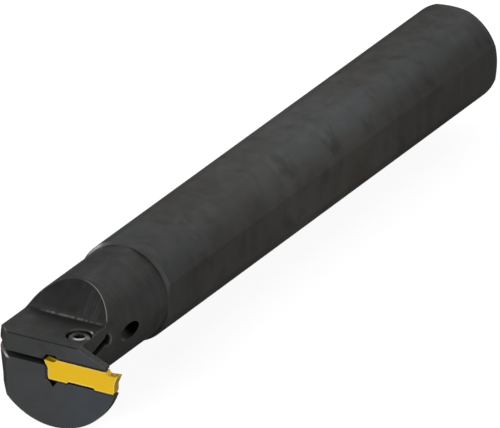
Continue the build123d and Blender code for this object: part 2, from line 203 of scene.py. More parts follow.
GOLD_WARM, GOLD_PALE = (1.0, 0.60, 0.012, 1.0), (1.0, 0.62, 0.008, 1.0)
GOLD_FINE = (1.0, 0.58, 0.006, 1.0)
GOLD_JAW_SHADOW = (0.20, 0.075, 0.006, 1.0)
# painted shade on the insert's outer end, lighter low down and darker high up
GOLD_END_SHADE_LOW, GOLD_END_SHADE_HIGH = (0.50, 0.31, 0.008, 1.0), (0.20, 0.13, 0.008, 1.0)
GOLD_DIMPLE_SHADE = (0.33, 0.17, 0.004, 1.0)
GOLD_EDGE_HIGHLIGHT = (1.0, 0.82, 0.28, 1.0)
GOLD_GAP_SHADE = (0.10, 0.045, 0.002, 1.0)
GOLD_WORN = (1.0, 0.80, 0.18, 1.0)

SCREW_DARK, SCREW_PALE = grey(0.05, 0.03), grey(0.09)
# the colour of the painted highlight on the head's bevel
SCREW_HIGHLIGHT = grey(1.0)
# painted shade in the screw's socket
SCREW_SOCKET_SHADE = grey(0.025)
SCREW_GAP_SHADE = grey(0.004)
SCREW_WORN = grey(0.45)


# ---------------------------------------------------------------- small tools for nodes
def add(tree, kind, inputs=None, **settings):
    """Add a node, set its properties, and set or link its inputs by name or by number."""
    made = tree.nodes.new(kind)
    for name, value in settings.items():
        setattr(made, name, value)
    for name, value in (inputs or {}).items():
        if isinstance(value, bpy.types.NodeSocket):
            tree.links.new(value, made.inputs[name])
        else:
            made.inputs[name].default_value = value
    return made


def calc(tree, operation, first, second=0.0):
    """One arithmetic step on values or sockets."""
    return add(tree, "ShaderNodeMath", {0: first, 1: second}, operation=operation).outputs[0]


def ramp(tree, value, low, high, to_low=0.0, to_high=1.0):
    """Carry a value smoothly from the span low..high to the span to_low..to_high."""
    made = add(
        tree, "ShaderNodeMapRange",
        {"Value": value, "From Min": low, "From Max": high, "To Min": to_low, "To Max": to_high},
        interpolation_type="SMOOTHSTEP",
    )
    return made.outputs[0]


def between(tree, value, low, high, soft=0.05 * MM):
    """1 where the value lies from low to high, falling to 0 over the soft width on both sides."""
    return product(tree, ramp(tree, value, low - soft, low), ramp(tree, value, high + soft, high))


def product(tree, *factors):
    """All the factors multiplied together."""
    made = factors[0]
    for factor in factors[1:]:
        made = calc(tree, "MULTIPLY", made, factor)
    return made


def largest(tree, *values):
    """The largest of the values, which joins masks into one."""
    made = values[0]
    for value in values[1:]:
        made = calc(tree, "MAXIMUM", made, value)
    return made


def inverse(tree, mask):
    """0 where the mask is 1 and 1 where it is 0."""
    return calc(tree, "SUBTRACT", 1.0, mask)


def axes(tree, place):
    """The three coordinates of a place."""
    split = add(tree, "ShaderNodeSeparateXYZ", {0: place}).outputs
    return split["X"], split["Y"], split["Z"]


def distance_from(tree, x, y, centre_x=0.0, centre_y=0.0):
    """The distance in a plane from a centre, from the plane's two coordinates."""
    across = calc(tree, "SUBTRACT", x, centre_x)
    along = calc(tree, "SUBTRACT", y, centre_y)
    flat = add(tree, "ShaderNodeCombineXYZ", {"X": across, "Y": along}).outputs[0]
    return add(tree, "ShaderNodeVectorMath", {0: flat}, operation="LENGTH").outputs["Value"]


def blend_colour(tree, mask, first, second):
    """The first colour where the mask is 0 and the second where it is 1."""
    made = add(tree, "ShaderNodeMix", {0: mask, 6: first, 7: second}, data_type="RGBA")
    return made.outputs[2]


def blend_value(tree, mask, first, second):
    """The first value where the mask is 0 and the second where it is 1."""
    made = add(tree, "ShaderNodeMix", {0: mask, 2: first, 3: second}, data_type="FLOAT")
    return made.outputs[0]


def paint(tree, tone, colour, mask, share=1.0):
    """The tone with that share of it covered by the colour wherever the mask is 1."""
    return blend_colour(tree, product(tree, mask, share), tone, colour)


def tinted(tree, tone, tint):
    """The tone with each of its channels multiplied by the tint's."""
    made = add(tree, "ShaderNodeVectorMath", {0: tone, 1: tint}, operation="MULTIPLY")
    return made.outputs[0]


def noise(tree, vector, scale, detail, distortion=0.0):
    """Cloudy noise, from 0 to 1 about a middle of 0.5."""
    made = add(
        tree, "ShaderNodeTexNoise",
        {"Vector": vector, "Scale": scale, "Detail": detail, "Distortion": distortion},
    )
    return made.outputs[0]


def patches(tree, vector, scale, detail, shows, whole, distortion=0.0):
    """Patches of noise, 0 where it is under the level at which they show and 1 where they are whole."""
    return ramp(tree, noise(tree, vector, scale, detail, distortion), shows, whole)


def stretched(tree, vector, x, y, z):
    """The coordinates with each axis multiplied by its own factor."""
    made = add(tree, "ShaderNodeMapping", {"Vector": vector, "Scale": (x, y, z)})
    return made.outputs[0]


# ---------------------------------------------------------------- effects that the finishes share
def new_group(name, inputs, outputs):
    """An empty node group with its inputs, given as (name, kind, value), and outputs, as (name, kind)."""
    group = bpy.data.node_groups.new(name, "ShaderNodeTree")
    for label, kind, value in inputs:
        socket = group.interface.new_socket(name=label, in_out="INPUT", socket_type=kind)
        if value is not None:
            socket.default_value = value
    for label, kind in outputs:
        group.interface.new_socket(name=label, in_out="OUTPUT", socket_type=kind)
    start = group.nodes.new("NodeGroupInput").outputs
    end = group.nodes.new("NodeGroupOutput").inputs
    return group, start, end


def edge_wear_group():
    """Where an outer edge is rubbed: the solid is thin there, looked at from inside, broken up by noise."""
    group, start, end = new_group(
        "edge_wear",
        [("Vector", "NodeSocketVector", None), ("Reach", "NodeSocketFloat", 0.4 * MM),
         ("Breakup", "NodeSocketFloat", 600.0)],
        [("Mask", "NodeSocketFloat")],
    )
    inner = add(
        group, "ShaderNodeAmbientOcclusion", {"Distance": start["Reach"]},
        inside=True, only_local=True, samples=8,
    )
    thin = ramp(group, inner.outputs["AO"], 0.92, 0.45)
    broken = patches(group, start["Vector"], start["Breakup"], detail=4.0, shows=0.25, whole=0.6)
    group.links.new(product(group, thin, broken), end["Mask"])
    return group


def crevice_shade_group():
    """Painted shade where a surface sits close in front of another one: gaps and inner corners, darkest in
    the depth.
    """
    group, start, end = new_group(
        "crevice_shade",
        [("Reach", "NodeSocketFloat", 1.0 * MM), ("Open", "NodeSocketFloat", 0.85),
         ("Closed", "NodeSocketFloat", 0.15)],
        [("Mask", "NodeSocketFloat")],
    )
    outer = add(group, "ShaderNodeAmbientOcclusion", {"Distance": start["Reach"]}, samples=8)
    group.links.new(ramp(group, outer.outputs["AO"], start["Open"], start["Closed"]), end["Mask"])
    return group


def clouds_group():
    """Soft uneven tone of two sizes at once, from 0 to 1, as a hand dipped oxide bath leaves it."""
    group, start, end = new_group(
        "clouds",
        [("Vector", "NodeSocketVector", None), ("Scale", "NodeSocketFloat", 60.0)],
        [("Broad", "NodeSocketFloat"), ("Fine", "NodeSocketFloat")],
    )
    fine_scale = product(group, start["Scale"], 5.0)
    broad = patches(
        group, start["Vector"], start["Scale"], detail=3.0, shows=0.32, whole=0.68, distortion=0.6
    )
    fine = patches(
        group, start["Vector"], fine_scale, detail=5.0, shows=0.3, whole=0.7, distortion=0.4
    )
    group.links.new(broad, end["Broad"])
    group.links.new(fine, end["Fine"])
    return group


def tool_marks_group():
    """Fine lines left by a cutter, with a slow change in their strength; Vector varies across the lines."""
    group, start, end = new_group(
        "tool_marks",
        [("Vector", "NodeSocketVector", None), ("Scale", "NodeSocketFloat", 3000.0)],
        [("Lines", "NodeSocketFloat")],
    )
    slow_scale = product(group, start["Scale"], 0.2)
    sharp = noise(group, start["Vector"], start["Scale"], detail=2.0)
    slow = noise(group, start["Vector"], slow_scale, detail=2.0)
    group.links.new(product(group, sharp, ramp(group, slow, 0.3, 0.7, to_low=0.4)), end["Lines"])
    return group


EDGE_WEAR = edge_wear_group()
CREVICE_SHADE = crevice_shade_group()
CLOUDS = clouds_group()
TOOL_MARKS = tool_marks_group()


def use(tree, group, inputs=None):
    """Place a shared effect in a material, with its own values."""
    return add(tree, "ShaderNodeGroup", inputs, node_tree=group).outputs


def worn_edges(tree, place, reach, breakup):
    """The rubbed outer edges of a piece, within that reach of the edge."""
    return use(tree, EDGE_WEAR, {"Vector": place, "Reach": reach, "Breakup": breakup})["Mask"]


def cut_lines(tree, vector, scale):
    """The lines of a cutter, across the direction in which the vector varies."""
    return use(tree, TOOL_MARKS, {"Vector": vector, "Scale": scale})["Lines"]


# ---------------------------------------------------------------- the finishes
def new_material(name):
    """A material with only its Principled shader and output, and the piece's own coordinates."""
    material = bpy.data.materials.new(name)
    material.use_nodes = True
    tree = material.node_tree
    shader = tree.nodes["Principled BSDF"]
    place = tree.nodes.new("ShaderNodeTexCoord").outputs["Object"]
    return material, tree, shader, place


def relief(tree, shader, height, depth, strength, edge_radius):
    """Fine relief from a height, over edges that look rounded to that radius."""
    soft_edge = add(tree, "ShaderNodeBevel", {"Radius": edge_radius}, samples=6).outputs[0]
    bump = add(
        tree, "ShaderNodeBump",
        {"Height": height, "Distance": depth, "Strength": strength, "Normal": soft_edge},
    )
    tree.links.new(bump.outputs[0], shader.inputs["Normal"])


def past_end(tree, x, z, end_x):
    """How far a point lies in X from an end of the insert, which slants inwards down to its relief."""
    end = ramp(tree, z, 0.0, END_RELIEF_Z, *end_x)
    return calc(tree, "SUBTRACT", x, end)


def insert_seam_shade(tree, x, z):
    """Painted brown shade along the thin joint that frames the insert on the front face: over its top, round
    its inner end and along its two feet."""
    over = product(
        tree, between(tree, z, INSERT_TOP - 0.05 * MM, INSERT_TOP + 0.25 * MM, soft=0.15 * MM),
        between(tree, x, *SEAM_OVER_X, soft=0.4 * MM),
    )
    inner = product(
        tree, between(tree, past_end(tree, x, z, INNER_END_X), -0.85 * MM, 0.1 * MM, soft=0.2 * MM),
        between(tree, z, INSERT_BASE - 0.1 * MM, INSERT_TOP - 0.2 * MM),
    )
    feet = product(
        tree, between(tree, z, INSERT_BASE - 0.4 * MM, INSERT_BASE + 0.15 * MM, soft=0.12 * MM),
        largest(
            tree, between(tree, x, *INNER_FOOT_X, soft=0.3 * MM),
            between(tree, x, *OUTER_FOOT_X, soft=0.3 * MM),
        ),
    )
    return largest(tree, inner, feet, over)


def bar_faces(tree, x, y, z, radius):
    """Masks of the bar's faces, told apart by where they lie."""
    within = ramp(tree, radius, NECK_RADIUS - 0.05 * MM, NECK_RADIUS - 0.12 * MM)
    behind_front = ramp(tree, y, FRONT + 0.05 * MM, FRONT + 0.15 * MM)
    front = inverse(tree, behind_front)
    wall = product(
        tree, within, ramp(tree, y, *HEAD_HALF_Y), ramp(tree, z, DECK + 0.3 * MM, DECK + 1.6 * MM)
    )
    deck = product(tree, within, behind_front, between(tree, z, DECK - 0.05 * MM, DECK + 0.4 * MM))
    step = product(
        tree, between(tree, y, NECK_BACK, NECK_BACK + 1.1 * MM, soft=0.1 * MM),
        ramp(tree, radius, NECK_RADIUS + 0.1 * MM, NECK_RADIUS + 0.3 * MM),
    )
    return SimpleNamespace(
        within=within, behind_front=behind_front, front=front, wall=wall, deck=deck, step=step,
        rear=ramp(tree, y, REAR - 0.15 * MM, REAR - 0.05 * MM),
        milled=largest(tree, wall, deck),
        blade=product(tree, front, ramp(tree, z, *BLADE_Z)),
        jaw=product(tree, front, ramp(tree, z, *JAW_Z)),
        neck=ramp(tree, y, NECK_BACK + 2 * MM, NECK_BACK - 2 * MM),
        side_flat=ramp(tree, x, FLAT_REACH - 1.5 * MM, FLAT_REACH - 0.2 * MM),
    )


def oxide_bath(tree, place, x, y, z, face, clouds, blots):
    """The uneven tone of the bath: broad and fine clouds, a blued shoulder, soft bands round the bar and
    small blots.
    It is then lightened through the middle of the shank and forward of that, darkened on the neck with
    painted shade on its top, made warmer and darker with painted shade on the flat of the cutting side, and
    cooler at the ends."""
    bands = patches(
        tree, stretched(tree, place, 0.3, 1.0, 0.3), scale=110.0, detail=4.0, shows=0.5, whole=0.68,
        distortion=0.6,
    )
    blued = patches(tree, place, scale=34.0, detail=2.0, shows=0.5, whole=0.64)
    shoulder = product(tree, ramp(tree, z, *SHOULDER_Z), ramp(tree, x, *SHOULDER_X, to_low=0.45))
    tone = blend_colour(tree, clouds["Broad"], OXIDE_DARK, OXIDE_PALE)
    tone = paint(tree, tone, OXIDE_FINE, clouds["Fine"], share=0.65)
    tone = paint(tree, tone, OXIDE_BLUED, product(tree, blued, shoulder), share=0.6)
    tone = paint(tree, tone, OXIDE_BAND, bands, share=0.55)
    tone = paint(tree, tone, OXIDE_BLOT, ramp(tree, blots, 0.52, 0.76), share=0.85)

    gain = BATH_GAIN
    for part, added in (
        (between(tree, y, *LIGHTER_MIDDLE_Y, soft=LIGHTER_MIDDLE_FADE), MIDDLE_GAIN),
        (ramp(tree, y, *FORWARD_Y), FORWARD_GAIN),
        (face.side_flat, SIDE_FLAT_GAIN),
        (product(tree, face.neck, face.behind_front), NECK_GAIN),
        # painted shade: the top of the neck darker still
        (product(tree, face.neck, ramp(tree, z, *CROWN_Z)), CROWN_SHADE_GAIN),
    ):
        gain = calc(tree, "ADD", gain, product(tree, part, added))
    tone = add(tree, "ShaderNodeVectorMath", {0: tone, "Scale": gain}, operation="SCALE").outputs[0]
    tone = tinted(tree, tone, OXIDE_TINT)
    # painted shade: the flat on the cutting side made warmer and darker
    tone = paint(tree, tone, SIDE_FLAT_SHADE, face.side_flat, share=0.45)
    cool_ends = largest(tree, ramp(tree, y, *COOL_FRONT_Y), ramp(tree, y, *COOL_REAR_Y))
    return blend_colour(tree, cool_ends, tone, tinted(tree, tone, COOL_TINT))


def bar_cut_lines(tree, radius, face, around, upward, across):
    """The cutter's lines of the whole bar: round it on turned and ground faces, up the wall, along the
    deck and the front face, and in rings on the rear face."""
    outwards = add(tree, "ShaderNodeCombineXYZ", {"X": radius}).outputs[0]
    rings = cut_lines(tree, outwards, scale=2200.0)
    lines = blend_value(tree, face.wall, around, upward)
    lines = blend_value(tree, largest(tree, face.deck, face.front), lines, across)
    return blend_value(tree, face.rear, lines, rings)


def tone_of_faces(tree, tone, x, y, z, radius, face, upward):
    """Each face in its own tone: the gullet's wall darkened with painted shade and given paler streaks, the
    blade's and the jaw's faces paler and bluer towards the cutting side, painted brown shade along the seam
    round the insert, painted shade at the foot of the wall and of the neck's step, and a painted highlight on
    the step's face."""
    # painted shade: the gullet's wall is darkened, and paler cutter streaks run up it
    tone = paint(tree, tone, GULLET_WALL_SHADE, face.wall, share=0.74)
    streaks = product(
        tree, face.wall, ramp(tree, upward, 0.36, 0.56), ramp(tree, x, *WALL_STREAKS_X, to_low=0.3)
    )
    tone = paint(tree, tone, CUT_STREAK, streaks, share=0.3)
    tone = paint(tree, tone, BLADE, face.blade, share=0.75)
    blue_side = product(tree, face.blade, ramp(tree, x, *BLADE_BLUE_X))
    tone = paint(tree, tone, BLADE_BLUE, blue_side, share=0.75)
    tone = paint(tree, tone, JAW, face.jaw, share=0.7)
    tone = paint(tree, tone, JAW_NOSE, product(tree, face.jaw, ramp(tree, x, *JAW_NOSE_X)), share=0.8)
    # painted shade along the seam round the insert
    tone = paint(tree, tone, SEAM_SHADE_BROWN, product(tree, insert_seam_shade(tree, x, z), face.front), share=0.9)

    wall_foot = product(
        tree, face.deck,
        between(tree, y, FILLET_START - 2.2 * MM, FILLET_START + 0.5 * MM, soft=1.6 * MM),
        ramp(tree, x, *FOOT_SHADE_X, to_low=0.5),
    )
    tone = paint(tree, tone, FOOT_SHADE, wall_foot, share=0.6)
    # the neck's round just touches the four flats, so the step's foot shows only between them
    off_axis = largest(tree, calc(tree, "ABSOLUTE", x), calc(tree, "ABSOLUTE", z))
    step_foot = product(
        tree, between(tree, y, NECK_BACK - 0.35 * MM, NECK_BACK + 0.1 * MM, soft=0.15 * MM),
        ramp(tree, radius, NECK_RADIUS + 0.12 * MM, NECK_RADIUS + 0.03 * MM),
        ramp(tree, off_axis, FLAT_REACH - 0.1 * MM, FLAT_REACH - 0.7 * MM),
    )
    tone = paint(tree, tone, FOOT_SHADE, step_foot, share=0.7)
    # painted highlight on the face of the neck's step
    return paint(tree, tone, CUT_LINE_AND_STEP_HIGHLIGHT, face.step, share=0.5)


def painted_gap_shade(tree, tone, z, from_screw):
    """Painted shade in gaps and darker painted shade in the depths, less so in the screw's pocket, which is
    wide enough to be lit.
    """
    pocket = product(
        tree, ramp(tree, from_screw, COUNTERBORE_RADIUS + 0.2 * MM, COUNTERBORE_RADIUS + 0.05 * MM),
        ramp(tree, z, DECK - 2.4 * MM, DECK - 1.8 * MM),
    )
    unlit = inverse(tree, product(tree, pocket, 0.6))
    gap_shade = use(tree, CREVICE_SHADE, {"Reach": 1.0 * MM})["Mask"]
    depth = use(tree, CREVICE_SHADE, {"Reach": 5.0 * MM, "Open": 0.5, "Closed": 0.18})["Mask"]
    tone = paint(tree, tone, GAP_SHADE, product(tree, gap_shade, unlit), share=0.8)
    return paint(tree, tone, DEEP_GAP_SHADE, product(tree, depth, unlit))


def wear_and_painted_highlights(tree, place, x, y, z, radius, face, from_screw):
    """Bare steel on every worn edge a little, and painted highlights where a broken edge or fillet catches
    the light:
    the step's far shoulder, the rims of the relief hole, the gullet and the screw's pocket, the wall's foot,
    and the slit's and the deck's edges on the far corner.
    """
    worn = product(tree, worn_edges(tree, place, reach=0.3 * MM, breakup=500.0), WORN_GLINT)
    # painted highlight on the step's far shoulder
    step_highlight = product(
        tree, face.step, ramp(tree, x, *STEP_GLINT_X), ramp(tree, z, *STEP_GLINT_Z, to_high=STEP_GLINT)
    )
    from_hole = distance_from(tree, y, z, HOLE_Y, HOLE_Z)
    # painted highlight on the relief hole's rim
    hole_rim_highlight = product(
        tree, between(tree, from_hole, HOLE_RADIUS + 0.5 * HOLE_EDGE_BREAK, HOLE_RADIUS + HOLE_EDGE_BREAK),
        ramp(tree, y, HOLE_Y + 0.3 * MM, HOLE_Y + 1.2 * MM),
        ramp(tree, x, *HOLE_GLINT_X, to_high=HOLE_GLINT),
    )
    # painted highlight along the gullet's rim
    gullet_rim_highlight = product(
        tree, face.wall,
        ramp(tree, radius, NECK_RADIUS - 0.75 * GULLET_EDGE_BREAK, NECK_RADIUS - 0.5 * GULLET_EDGE_BREAK),
        ramp(tree, x, *GULLET_RIM_X, to_low=0.15),
    )
    dots = noise(tree, stretched(tree, place, 1.0, 0.3, 0.3), scale=1000.0, detail=2.0)
    # painted highlight along the fillet at the wall's foot, broken into dots
    foot_line_highlight = product(
        tree, ramp(tree, dots, 0.34, 0.66, to_low=0.08, to_high=0.46),
        between(tree, y, FILLET_START + 0.85 * MM, FILLET_START + 1.2 * MM, soft=0.45 * MM),
        between(tree, z, DECK - 0.1 * MM, DECK + 0.7 * MM), ramp(tree, x, *FOOT_LINE_X, to_low=0.4),
        ramp(tree, x, *FOOT_LINE_START_X), face.within,
    )
    from_spot = distance_from(tree, x, y, RIM_SPOT_X, RIM_SPOT_Y)
    # painted highlight on the screw pocket's rim
    pocket_rim_highlight = product(
        tree, between(tree, from_screw, COUNTERBORE_RADIUS, COUNTERBORE_RADIUS + COUNTERBORE_CHAMFER),
        between(tree, z, DECK - COUNTERBORE_CHAMFER, DECK + 0.01 * MM),
        ramp(tree, y, SCREW_Y + 0.8 * MM, SCREW_Y + 2.4 * MM),
        ramp(tree, from_spot, 1.0 * MM, 0.3 * MM, to_low=0.1, to_high=0.6),
    )
    diagonal = calc(tree, "ADD", x, calc(tree, "SUBTRACT", y, FRONT))
    # painted highlights on the slit's and the deck's edges at the far corner
    slit_edge_highlight = product(
        tree, between(tree, diagonal, CORNER - 0.7 * MM, CORNER + 0.7 * MM, soft=0.1 * MM),
        between(tree, z, SLIT_EDGE_Z - 0.25 * MM, SLIT_EDGE_Z + 0.25 * MM),
        ramp(tree, y, FRONT + 7 * MM, FRONT + 5 * MM), SLIT_GLINT,
    )
    deck_edge_highlight = product(
        tree, between(tree, diagonal, CORNER - 0.4 * MM, CORNER + 0.15 * MM, soft=0.1 * MM),
        between(tree, z, DECK - 0.4 * MM, DECK + 0.01 * MM),
        ramp(tree, y, FRONT + 3 * MM, FRONT + 1.5 * MM), DECK_GLINT,
    )
    return largest(
        tree, worn, step_highlight, hole_rim_highlight, gullet_rim_highlight, foot_line_highlight, pocket_rim_highlight, slit_edge_highlight, deck_edge_highlight
    )


def oxide_finish():
    """Black oxide on alloy steel: a dark satin grey with warm and cool clouds, marks that follow how each
    face was cut, a lighter middle along the shank, painted shade in its hollows and gaps, and bright broken
    edges, partly bare steel and partly painted highlights."""
    material, tree, shader, place = new_material("black_oxide_steel")
    x, y, z = axes(tree, place)
    radius = distance_from(tree, x, z)
    from_screw = distance_from(tree, x, y, SCREW_X, SCREW_Y)
    face = bar_faces(tree, x, y, z, radius)
    clouds = use(tree, CLOUDS, {"Vector": stretched(tree, place, 1.0, 0.7, 1.0), "Scale": 52.0})
    blots = noise(
        tree, stretched(tree, place, 1.0, 1.2, 1.0), scale=120.0, detail=2.0, distortion=0.2
    )
    around = cut_lines(tree, stretched(tree, place, 0.02, 1.0, 0.02), scale=1500.0)
    upward = cut_lines(tree, stretched(tree, place, 1.0, 0.04, 0.04), scale=1300.0)
    across = cut_lines(tree, stretched(tree, place, 0.03, 1.0, 1.0), scale=1800.0)
    lines = bar_cut_lines(tree, radius, face, around, upward, across)

    tone = oxide_bath(tree, place, x, y, z, face, clouds, blots)
    line_share = blend_value(tree, face.milled, 0.28, 0.3)
    tone = paint(tree, tone, CUT_LINE_AND_STEP_HIGHLIGHT, ramp(tree, lines, 0.3, 0.6), share=line_share)
    tone = tone_of_faces(tree, tone, x, y, z, radius, face, upward)
    tone = painted_gap_shade(tree, tone, z, from_screw)
    bright = wear_and_painted_highlights(tree, place, x, y, z, radius, face, from_screw)
    # bare steel on worn edges, and painted highlights on broken edges and at the wall's foot
    tone = paint(tree, tone, BARE_STEEL_AND_HIGHLIGHT, bright)
    # painted shade on the broken edge along the top of the front face
    front_edge_shade = product(
        tree, face.within, between(tree, y, FRONT + 0.02 * MM, FRONT + FRONT_EDGE_BREAK),
        between(tree, z, DECK - FRONT_EDGE_BREAK, DECK + 0.02 * MM),
    )
    tone = paint(tree, tone, FRONT_EDGE_SHADE, front_edge_shade, share=0.8)
    tree.links.new(tone, shader.inputs["Base Color"])

    rough = blend_value(tree, clouds["Fine"], *OXIDE_ROUGHNESS)
    duller = calc(tree, "ADD", rough, BLOT_ROUGHNESS)
    glossier = calc(tree, "SUBTRACT", rough, BLOT_ROUGHNESS)
    rough = blend_value(tree, blots, duller, glossier)
    tree.links.new(blend_value(tree, bright, rough, BARE_ROUGHNESS), shader.inputs["Roughness"])
    tree.links.new(product(tree, bright, BARE_METALLIC), shader.inputs["Metallic"])
    shader.inputs["Specular IOR Level"].default_value = OXIDE_SPECULAR
    grain_height, line_height = 0.35, 0.5      # shares of the relief's depth
    grain = product(tree, noise(tree, place, scale=5000.0, detail=3.0), grain_height)
    height = calc(tree, "ADD", grain, product(tree, lines, line_height))
    relief(tree, shader, height, depth=0.02 * MM, strength=0.6, edge_radius=0.15 * MM)
    return material


def front_rim_highlights(tree, x, z, past_outer):
    """Painted highlights along the rim of the insert's front face: along its base and recess, both its ends
    and its top.
    """
    in_recess = between(tree, x, *RECESS_X, soft=0.3 * MM)
    base = ramp(tree, in_recess, 0.0, 1.0, to_low=INSERT_BASE, to_high=RECESS_CEILING)
    above_base = calc(tree, "SUBTRACT", z, base)
    past_inner = past_end(tree, x, z, INNER_END_X)
    return largest(
        tree, between(tree, above_base, 0.2 * MM, 0.45 * MM, soft=0.15 * MM),
        between(tree, past_outer, -0.32 * MM, -0.12 * MM, soft=0.15 * MM),
        between(tree, past_inner, 0.2 * MM, 0.4 * MM, soft=0.15 * MM),
        product(tree, between(tree, z, *TOP_HIGHLIGHT_Z, soft=0.12 * MM), 0.5),
    )


def gold_finish():
    """Golden nitride coating on carbide: yellow gold with a faint grain, with painted highlights along its
    edges, and painted brown shade under the jaw, on its outer end, round the dimple and in its gaps."""
    material, tree, shader, place = new_material("gold_nitride_coating")
    x, y, z = axes(tree, place)
    clouds = use(tree, CLOUDS, {"Vector": place, "Scale": 250.0})
    tone = blend_colour(tree, clouds["Broad"], GOLD_WARM, GOLD_PALE)
    tone = paint(tree, tone, GOLD_FINE, clouds["Fine"], share=0.3)

    # painted shadow of the jaw along the insert's top
    jaw_shadow = product(
        tree, ramp(tree, z, INSERT_TOP - 0.55 * MM, INSERT_TOP - 0.4 * MM),
        ramp(tree, x, *UNDER_JAW_X),
    )
    tone = paint(tree, tone, GOLD_JAW_SHADOW, jaw_shadow, share=0.85)
    past_outer = past_end(tree, x, z, OUTER_END_X)
    # painted shade on the insert's outer end, which faces the cutting side
    end_face = ramp(tree, past_outer, -0.12 * MM, -0.04 * MM)
    end_shade = blend_colour(tree, ramp(tree, z, *END_DARK_Z), GOLD_END_SHADE_LOW, GOLD_END_SHADE_HIGH)
    tone = paint(tree, tone, end_shade, end_face, share=0.8)
    # painted shade in a ring round the dimple on the insert's cutting end
    from_dimple = distance_from(
        tree, product(tree, x, DIMPLE_SQUASH), y, DIMPLE_SQUASH * DIMPLE_X, DIMPLE_Y
    )
    dimple_shade = product(
        tree, between(tree, from_dimple, *DIMPLE_RIM, soft=0.2 * MM),
        ramp(tree, z, *DIMPLE_Z), inverse(tree, end_face),
    )
    tone = paint(tree, tone, GOLD_DIMPLE_SHADE, dimple_shade, share=0.75)

    in_front = ramp(tree, y, FRONT + 0.35 * MM, FRONT + 0.15 * MM)
    # painted highlights along the rim of the insert's front face
    rim_highlight = product(tree, front_rim_highlights(tree, x, z, past_outer), in_front)
    tone = paint(tree, tone, GOLD_EDGE_HIGHLIGHT, rim_highlight, share=0.6)
    # painted shade along the seam, on the insert's front
    tone = paint(tree, tone, SEAM_SHADE_BROWN, product(tree, insert_seam_shade(tree, x, z), in_front), share=0.9)
    # painted shade in the insert's gaps
    gap_shade = use(tree, CREVICE_SHADE, {"Reach": 0.5 * MM})["Mask"]
    tone = paint(tree, tone, GOLD_GAP_SHADE, gap_shade, share=0.85)
    worn = worn_edges(tree, place, reach=0.2 * MM, breakup=300.0)
    tone = paint(tree, tone, GOLD_WORN, worn, share=0.6)
    tree.links.new(tone, shader.inputs["Base Color"])
    tree.links.new(blend_value(tree, clouds["Fine"], *GOLD_ROUGHNESS), shader.inputs["Roughness"])
    shader.inputs["Metallic"].default_value = 0.0
    grain = noise(tree, place, scale=9000.0, detail=2.0)
    relief(tree, shader, grain, depth=0.01 * MM, strength=0.5, edge_radius=0.08 * MM)
    return material


def screw_finish():
    """Oiled dark steel of the clamp screw, with a painted highlight on the bevel of its head, faint all round
    and brightest in a crescent, broken up by noise.
    """
    material, tree, shader, place = new_material("screw_dark_steel")
    x, y, z = axes(tree, place)
    radius = distance_from(tree, x, y, SCREW_X, SCREW_Y)
    top = SCREW_HIGH.z
    clouds = use(tree, CLOUDS, {"Vector": place, "Scale": 400.0})
    tone = blend_colour(tree, clouds["Broad"], SCREW_DARK, SCREW_PALE)

    bevel = product(
        tree, ramp(tree, radius, MOUTH_RADIUS - 0.1 * MM, MOUTH_RADIUS + 0.05 * MM),
        ramp(tree, z, top - 1.1 * MM, top - 0.9 * MM),
    )
    # the crescent of painted highlight on the head's bevel
    from_highlight = distance_from(tree, x, y, HEAD_HIGHLIGHT_X, HEAD_HIGHLIGHT_Y)
    crescent_highlight = product(
        tree, ramp(tree, from_highlight, *HEAD_HIGHLIGHT_FADE),
        between(tree, radius, *HEAD_HIGHLIGHT_BAND, soft=0.15 * MM),
    )
    bevel_highlight = product(tree, bevel, blend_value(tree, crescent_highlight, 0.13, 1.0))
    broken_highlight = product(tree, bevel_highlight, ramp(tree, clouds["Fine"], 0.0, 0.6, to_low=0.75))
    # painted highlight on the bevel of the head, brightest in the crescent
    tone = paint(tree, tone, SCREW_HIGHLIGHT, broken_highlight)
    # painted shade in the socket and its mouth
    socket = product(
        tree, ramp(tree, radius, MOUTH_RADIUS - 0.05 * MM, MOUTH_RADIUS - 0.35 * MM),
        ramp(tree, z, top - 0.01 * MM, top - 0.08 * MM),
    )
    tone = paint(tree, tone, SCREW_SOCKET_SHADE, socket, share=0.55)
    # painted shade in the screw's gaps
    gap_shade = use(tree, CREVICE_SHADE, {"Reach": 0.4 * MM})["Mask"]
    tone = paint(tree, tone, SCREW_GAP_SHADE, gap_shade, share=0.8)
    worn = worn_edges(tree, place, reach=0.18 * MM, breakup=900.0)
    tone = paint(tree, tone, SCREW_WORN, worn, share=0.7)
    tree.links.new(tone, shader.inputs["Base Color"])
    tree.links.new(blend_value(tree, clouds["Fine"], *SCREW_ROUGHNESS), shader.inputs["Roughness"])
    tree.links.new(blend_value(tree, bevel_highlight, SCREW_METALLIC, 0.0), shader.inputs["Metallic"])
    grain = noise(tree, place, scale=8000.0, detail=2.0)
    relief(tree, shader, grain, depth=0.01 * MM, strength=0.5, edge_radius=0.08 * MM)
    return material


OXIDE = oxide_finish()
GOLD = gold_finish()
SCREW_STEEL = screw_finish()


